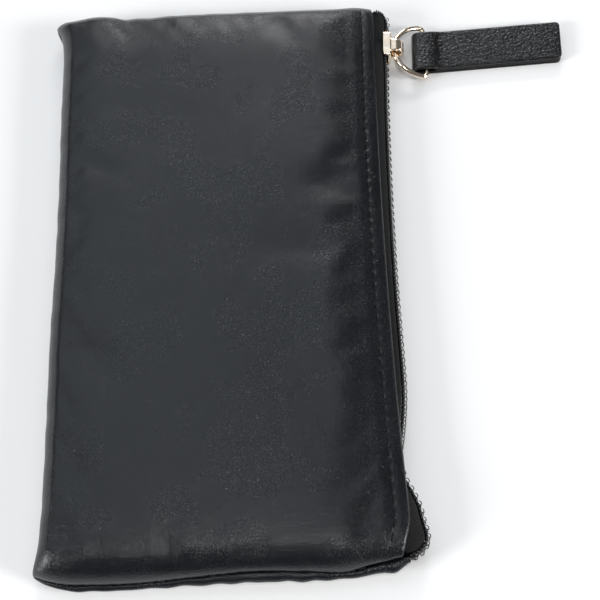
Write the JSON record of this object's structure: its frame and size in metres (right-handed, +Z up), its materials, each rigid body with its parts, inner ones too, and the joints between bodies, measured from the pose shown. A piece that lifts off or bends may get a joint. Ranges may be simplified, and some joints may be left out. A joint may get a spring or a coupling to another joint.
{
  "type": "makeup bag",
  "caption": "Slim flat zip pouch in grained leather, lying on its back panel, with a zip along one long side and a leather pull strap hung from the slider by a D-ring.",
  "frame": {"origin": "middle of the flat face of the back panel, which the pouch rests on", "axes": "+X from the bottom seam to the zip, +Y along the zip to the closed slider's end, +Z up"},
  "size_m": [0.169, 0.195, 0.014],
  "materials": {
    "leather": "grained, semi-matt black",
    "strap_leather": "pebbled, glossy black",
    "foam": "thin foam",
    "lining": "fine plain weave",
    "zip_tape": "herringbone woven tape",
    "zip_coil": "nylon monofilament",
    "coil_cord": "braided cord",
    "thread": "twisted polyester",
    "gold_metal": "polished light gold",
    "stiffener": "bonded fibre board"
  },
  "bodies": {
    "back_half": {"back_panel": "leather", "back_interlining": "foam", "back_lining": "lining", "back_zip_tape": "zip_tape", "back_zip_coil": "zip_coil", "back_coil_cord": "coil_cord", "back_topstitch": "thread", "far_seam_stitching": "thread", "near_seam_stitching": "thread", "bottom_seam_stitching": "thread", "far_bar_tack": "thread", "near_bar_tack": "thread"},
    "front_half": {"front_panel": "leather", "front_interlining": "foam", "front_lining": "lining", "front_zip_tape": "zip_tape", "front_zip_coil": "zip_coil", "front_coil_cord": "coil_cord", "front_topstitch": "thread"},
    "slider": {"slider_body": "gold_metal", "slider_bridge": "gold_metal"},
    "ring": {"d_ring": "gold_metal"},
    "strap": {"pull_strap": "strap_leather", "strap_stiffener": "stiffener", "pull_strap_stitching": "thread"}
  },
  "joints": [
    {"name": "slider_travel", "type": "slide", "parent": "back_half", "child": "slider", "axis": [0, -1, 0], "range_m": [0, 0.162], "deforming": ["front_zip_coil", "front_coil_cord", "front_zip_tape", "back_zip_coil", "back_coil_cord", "back_zip_tape"]},
    {"name": "mouth_open", "type": "hinge", "parent": "back_half", "child": "front_half", "pos_m": [-0.0525, 0, 0.0055], "axis": [0, -1, 0], "range_deg": [0, 10]},
    {"name": "ring_swing", "type": "hinge", "parent": "slider", "child": "ring", "pos_m": [0.06005, 0.082, 0.0055], "axis": [0, -1, 0], "range_deg": [0, 75]},
    {"name": "strap_swing", "type": "hinge", "parent": "ring", "child": "strap", "pos_m": [0.07011, 0.082, 0.00215], "axis": [0, -1, 0], "range_deg": [0, 40]}
  ],
  "couplings": [
    {"joint": "mouth_open", "follows": "slider_travel", "rad_per_m": 1.0774}
  ]
}
